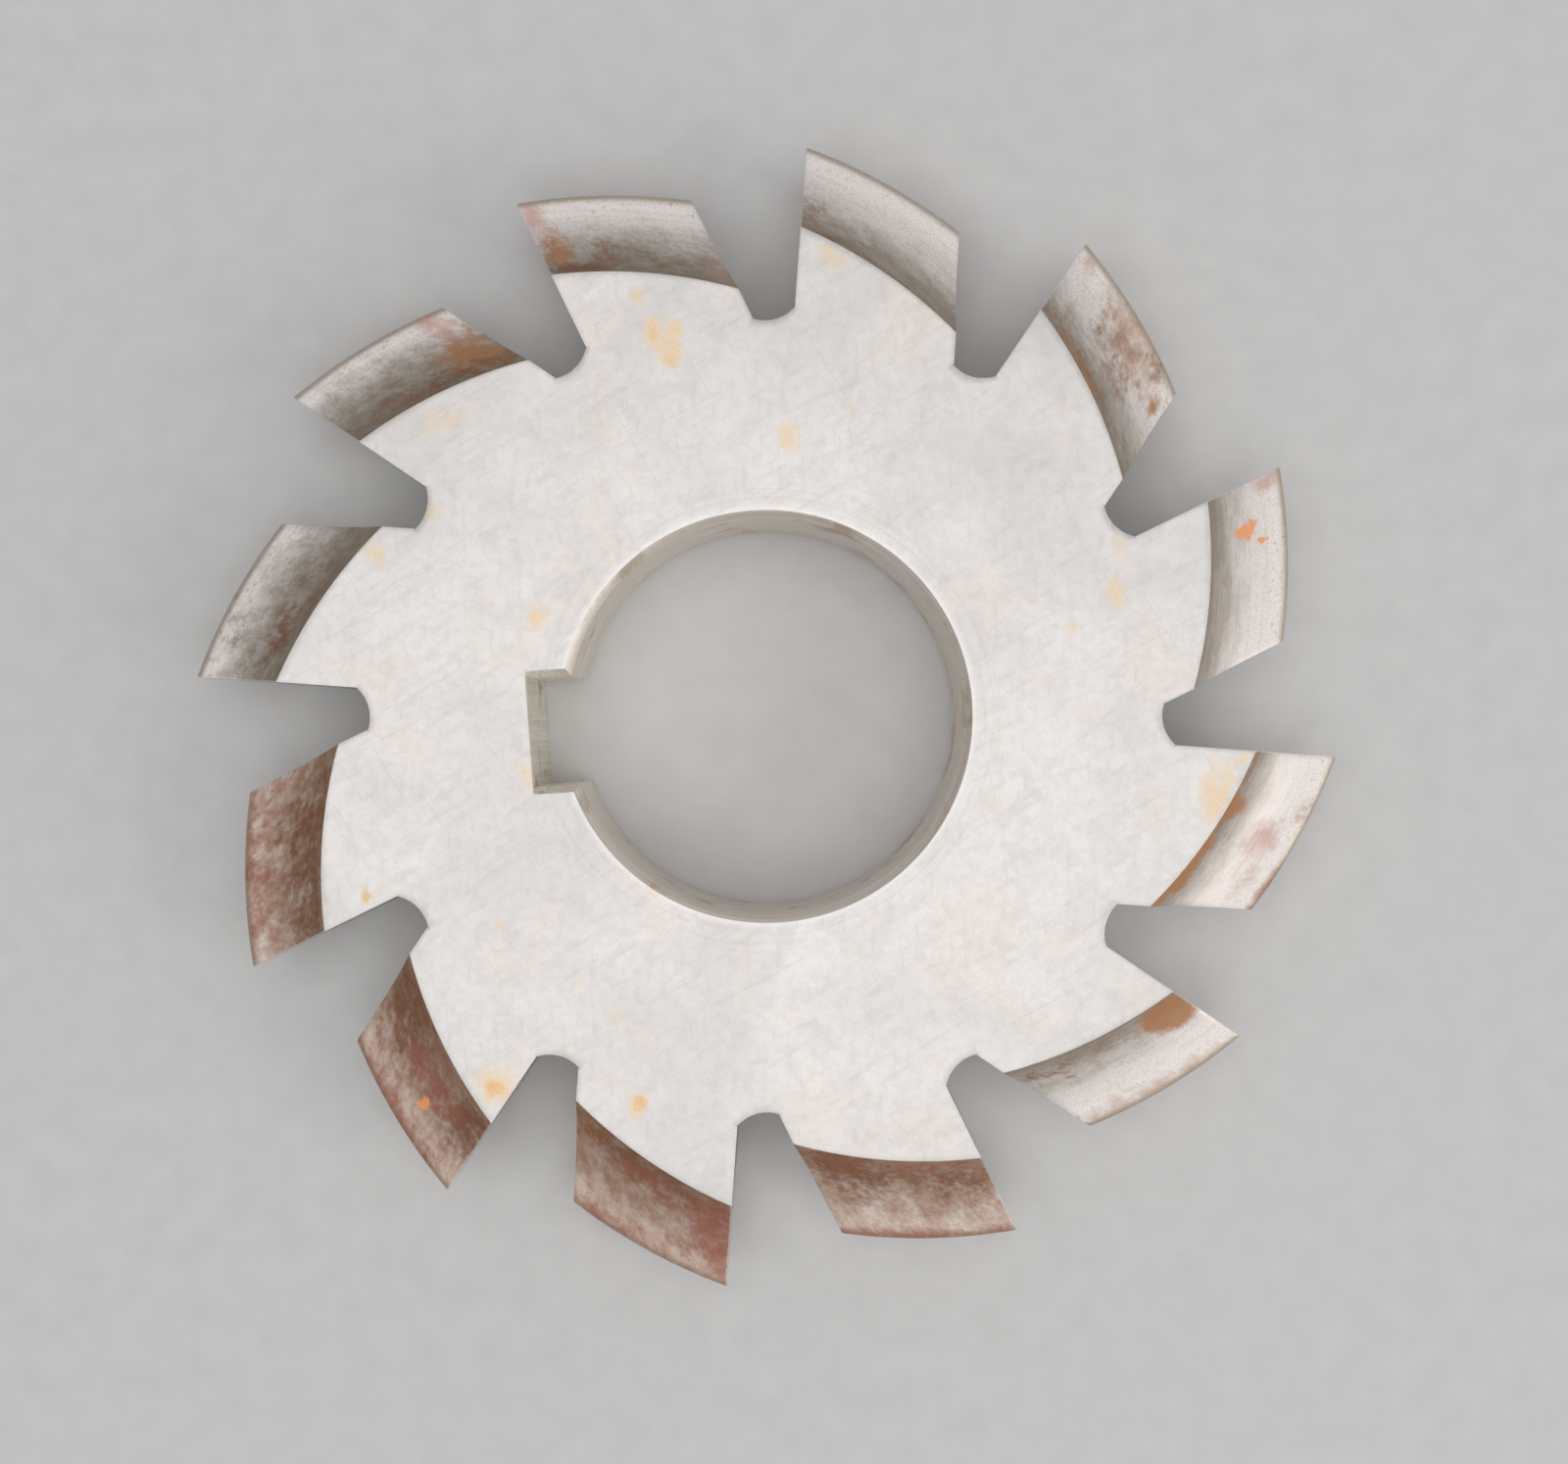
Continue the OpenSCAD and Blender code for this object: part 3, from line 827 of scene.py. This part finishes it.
def ground_material():
    """Flat-ground side faces: near-white, with faint clouds and smears, crossed hairlines and
    scratches, rubbed rings near the bore, a painted highlight ring at the bore's rim where the
    chamfer would catch the light, and pale rust spots."""
    shader = Shader("ground_side_face")
    clouds = shader.noise(shader.place, 0.10, 4.0, 0.6, 0.4)
    blush = shader.noise(shader.vector("ADD", shader.place, (31.0, 12.0, 5.0)), 0.20, 6.0, 0.65, 0.4)
    mist = shader.noise(shader.vector("ADD", shader.place, (3.0, 52.0, 8.0)), 0.55, 5.0, 0.65, 0.2)
    colour = shader.mix(shader.ramp(clouds, 0.35, 0.65), (0.715, 0.695, 0.68), (0.81, 0.785, 0.765))
    colour = shader.mix(shader.ramp(blush, 0.46, 0.66, 0.0, 0.36), colour, (0.84, 0.71, 0.64))
    colour = shader.mix(shader.ramp(mist, 0.48, 0.66, 0.0, 0.20), colour, (0.54, 0.535, 0.54))
    mottle = shader.noise(shader.place, 1.9, 5.0, 0.72, 0.3)
    colour = shader.mix(shader.ramp(mottle, 0.36, 0.62, 0.22, 0.0), colour, (0.50, 0.47, 0.45))
    smear_a = scratches(shader, 28, 2.4, 0.42, 0.52, 0.72)
    smear_b = scratches(shader, 88, 2.0, 0.45, 0.55, 0.74)
    smears = shader.math("MAXIMUM", smear_a, smear_b)
    colour = shader.mix(shader.math("MULTIPLY", smears, 0.20), colour, (0.50, 0.475, 0.455))
    radius = shader.from_axis()
    rim_r = (BORE_R + RIM_CHAMFER) / MM
    rings = shader.noise(shader.join(radius, clouds, 0.0), 3.2, 3.0, 0.6)
    near_bore = shader.ramp(radius, rim_r + 2.2, rim_r + 0.8)
    rubbed = shader.math("MULTIPLY", near_bore, shader.ramp(rings, 0.50, 0.64))
    colour = shader.mix(shader.math("MULTIPLY", rubbed, 0.28), colour, (0.56, 0.48, 0.43))
    # Painted highlight: a lighter ring just outside the bore's chamfer, standing in for its edge
    # catching the light
    painted_rim_highlight = shader.ramp(radius, rim_r + 0.35, rim_r + 0.05, 0.0, 0.5)
    colour = shader.mix(painted_rim_highlight, colour, (0.90, 0.89, 0.88))
    patch = shader.noise(shader.place, 0.12, 2.0, 0.5)
    hair_a = shader.noise(shader.stretched(30, 6.0, 0.09), 1.0, 3.0, 0.6)
    hair_b = shader.noise(shader.stretched(-58, 5.0, 0.10), 1.0, 3.0, 0.6)
    hair_c = shader.noise(shader.stretched(84, 8.0, 0.08), 1.0, 3.0, 0.6)
    hair = shader.mix_value(shader.ramp(patch, 0.42, 0.58), hair_a, hair_b)
    hair = shader.mix_value(0.35, hair, hair_c)
    long_a = scratches(shader, 24, 14.0, 0.11, 0.68, 0.74)
    long_b = scratches(shader, -63, 10.0, 0.12, 0.69, 0.75)
    long_c = scratches(shader, 47, 6.0, 0.10, 0.71, 0.77)
    marks = shader.math("MAXIMUM", shader.math("MAXIMUM", long_a, long_b), long_c)
    colour = shader.mix(shader.ramp(hair, 0.35, 0.62, 0.27, 0.0), colour, (0.45, 0.44, 0.42))
    colour = shader.mix(shader.math("MULTIPLY", marks, 0.36), colour, (0.42, 0.41, 0.40))
    roughness = shader.ramp(hair, 0.3, 0.7, 0.36, 0.50)
    roughness = shader.math("SUBTRACT", roughness, shader.math("MULTIPLY", marks, 0.08))
    colour, roughness, metallic = add_stains(
        shader, shader.place, colour, roughness, 0.82, FACE_KINDS
    )
    height = shader.math("MULTIPLY", hair, 0.4)
    height = shader.math("SUBTRACT", height, shader.math("MULTIPLY", marks, 0.6))
    return shader.finish(colour, roughness, metallic, height, 0.003)


def form_material():
    """Relief-turned flanks: satin, faintly streaked along the relief, brownish and darkened by
    painted shade towards the foot, with a painted-shade olive band on the rounded tip corner and
    painted glints near the tip, rusty, and with a bright worn edge at the rake face."""
    shader = Shader("form_flank")
    along = shader.attribute("along")
    across = shader.attribute("across")
    own = shader.math("MULTIPLY", shader.attribute("number"), TOOTH_STEP)
    from_rake = shader.math("MULTIPLY", along, TOOTH_W / MM)
    from_side = shader.math("MULTIPLY", shader.attribute("around"), FLANK_LENGTH / MM)
    flank_place = shader.join(from_rake, from_side, own)
    streak_place = shader.vector("MULTIPLY", flank_place, (0.22, 6.5, 1.0))
    streaks = shader.noise(streak_place, 1.0, 5.0, 0.62, 0.25)
    grain = shader.noise(shader.place, 9.0, 4.0, 0.65)
    blotch = shader.noise(shader.vector("MULTIPLY", flank_place, (0.5, 0.9, 1.0)), 1.0, 6.0, 0.66, 0.3)
    wander = shader.math("ADD", across, shader.ramp(blotch, 0.3, 0.7, -0.10, 0.10))
    # Brownish grey at the foot, lighter towards the tip: partly the flank's own tone, partly painted
    # shade where the steep hollow flank near the side face turns from the light
    foot = shader.ramp(wander, -0.05, 0.70)
    colour = shader.mix(foot, (0.37, 0.325, 0.265), (0.93, 0.872, 0.84))
    wavy = shader.math("ADD", across, shader.math("MULTIPLY", streaks, 0.05))
    # Painted shade: a darker olive band on the rounded tip corner, which turns outward from the light
    colour = shader.mix(shader.ramp(wavy, 0.89, 0.96, 0.0, 0.78), colour, (0.50, 0.43, 0.30))
    colour = shader.mix(shader.ramp(wavy, 1.03, 1.08, 0.0, 0.6), colour, (0.62, 0.58, 0.52))
    colour = shader.mix(shader.ramp(streaks, 0.5, 0.7, 0.0, 0.20), colour, (0.95, 0.88, 0.85))
    colour = shader.mix(shader.ramp(streaks, 0.5, 0.3, 0.0, 0.18), colour, (0.30, 0.27, 0.23))
    colour = shader.mix(shader.ramp(grain, 0.58, 0.36, 0.0, 0.22), colour, (0.30, 0.26, 0.23))
    pits = shader.noise(shader.place, 3.4, 3.0, 0.6)
    pit_mask = shader.math("MULTIPLY", shader.ramp(pits, 0.61, 0.68), shader.ramp(across, 0.60, 0.85))
    colour = shader.mix(shader.math("MULTIPLY", pit_mask, 0.35), colour, (0.36, 0.29, 0.25))
    near_tip = shader.math("MULTIPLY", shader.ramp(across, 0.72, 0.88), shader.ramp(across, 0.93, 0.89))
    glint_mask = shader.math("MULTIPLY", shader.ramp(pits, 0.37, 0.31), near_tip)
    colour = shader.mix(shader.math("MULTIPLY", glint_mask, 0.7), colour, (0.95, 0.92, 0.90))
    roughness = shader.ramp(grain, 0.3, 0.7, 0.46, 0.60)
    colour, roughness, metallic = add_stains(
        shader, flank_place, colour, roughness, 0.62, FLANK_KINDS
    )
    worn = shader.math("ADD", along, shader.math("MULTIPLY", grain, 0.02))
    worn = shader.ramp(worn, 0.022, 0.012, 0.0, 0.6)
    colour = shader.mix(worn, colour, (0.85, 0.83, 0.80))
    metallic = shader.mix_value(worn, metallic, 0.9)
    shader.shader.inputs["Specular IOR Level"].default_value = 0.3
    height = shader.math("MULTIPLY", streaks, 0.6)
    height = shader.math("ADD", height, shader.math("MULTIPLY", grain, 0.4))
    height = shader.math("SUBTRACT", height, shader.math("MULTIPLY", pit_mask, 0.8))
    return shader.finish(colour, roughness, metallic, height, 0.012)


def rake_material():
    """Ground rake faces: clean steel, with fine lines up the tooth and a brown film."""
    shader = Shader("rake_face")
    lines = shader.noise(shader.vector("MULTIPLY", shader.place, (0.3, 0.3, 13.0)), 1.0, 3.0, 0.6)
    film = shader.noise(shader.place, 0.35, 6.0, 0.65)
    colour = shader.mix(shader.ramp(lines, 0.3, 0.7), (0.56, 0.545, 0.52), (0.70, 0.685, 0.66))
    colour = shader.mix(shader.ramp(film, 0.46, 0.70, 0.0, 0.60), colour, (0.33, 0.23, 0.16))
    roughness = shader.ramp(film, 0.4, 0.7, 0.42, 0.6)
    metallic = shader.ramp(film, 0.48, 0.66, 0.9, 0.35)
    return shader.finish(colour, roughness, metallic, lines, 0.006)


def gullet_material():
    """Milled gullet floors and tooth backs: darker, with milling lines through the thickness."""
    shader = Shader("milled_gullet")
    lines = shader.noise(shader.vector("MULTIPLY", shader.place, (7.0, 7.0, 0.3)), 1.0, 4.0, 0.6)
    film = shader.noise(shader.place, 0.3, 7.0, 0.68)
    colour = shader.mix(shader.ramp(lines, 0.3, 0.7), (0.29, 0.27, 0.235), (0.43, 0.41, 0.37))
    colour = shader.mix(shader.ramp(film, 0.46, 0.72, 0.0, 0.70), colour, (0.22, 0.135, 0.085))
    roughness = shader.ramp(film, 0.35, 0.7, 0.50, 0.72)
    metallic = shader.ramp(film, 0.5, 0.68, 0.85, 0.25)
    return shader.finish(colour, roughness, metallic, lines, 0.010)


def bore_material():
    """Ground bore wall: beige-grey, with fine lines round it and a few brown smudges."""
    shader = Shader("bore_wall")
    lines = shader.noise(shader.vector("MULTIPLY", shader.place, (0.12, 0.12, 7.0)), 1.0, 3.0, 0.6)
    film = shader.noise(shader.vector("ADD", shader.place, (7.0, 3.0, 1.0)), 0.28, 6.0, 0.65)
    colour = shader.mix(shader.ramp(lines, 0.3, 0.7), (0.70, 0.64, 0.57), (0.86, 0.80, 0.735))
    colour = shader.mix(shader.ramp(film, 0.52, 0.7, 0.0, 0.6), colour, (0.34, 0.22, 0.14))
    roughness = shader.ramp(film, 0.4, 0.7, 0.36, 0.55)
    metallic = shader.ramp(film, 0.52, 0.7, 0.55, 0.3)
    return shader.finish(colour, roughness, metallic, lines, 0.005)


def keyway_material():
    """Broached keyway: greenish-beige, with lines along the bore."""
    shader = Shader("broached_keyway")
    lines = shader.noise(shader.vector("MULTIPLY", shader.place, (6.0, 6.0, 0.14)), 1.0, 4.0, 0.6)
    film = shader.noise(shader.place, 0.5, 6.0, 0.65)
    colour = shader.mix(shader.ramp(lines, 0.3, 0.7), (0.70, 0.67, 0.57), (0.87, 0.84, 0.74))
    colour = shader.mix(shader.ramp(film, 0.52, 0.66, 0.0, 0.7), colour, (0.36, 0.22, 0.12))
    roughness = shader.ramp(film, 0.4, 0.7, 0.4, 0.6)
    metallic = shader.ramp(film, 0.55, 0.7, 0.45, 0.2)
    return shader.finish(colour, roughness, metallic, lines, 0.008)


def floor_material():
    """Plain pale floor."""
    shader = Shader("studio_floor")
    grain = shader.noise(shader.place, 0.5, 3.0, 0.5)
    colour = shader.mix(shader.ramp(grain, 0.3, 0.7), (0.68, 0.68, 0.68), (0.71, 0.71, 0.71))
    return shader.finish(colour, 0.85, 0.0, grain, 0.01)


# ---------------------------------------------------------------- the whole

make_camera()
make_studio()
MATERIALS = {
    "ground": ground_material(),
    "form": form_material(),
    "rake": rake_material(),
    "gullet": gullet_material(),
    "bore": bore_material(),
    "keyway": keyway_material(),
}
make_hub(MATERIALS)
for tooth_number in range(1, TEETH + 1):
    make_tooth(tooth_number, MATERIALS)
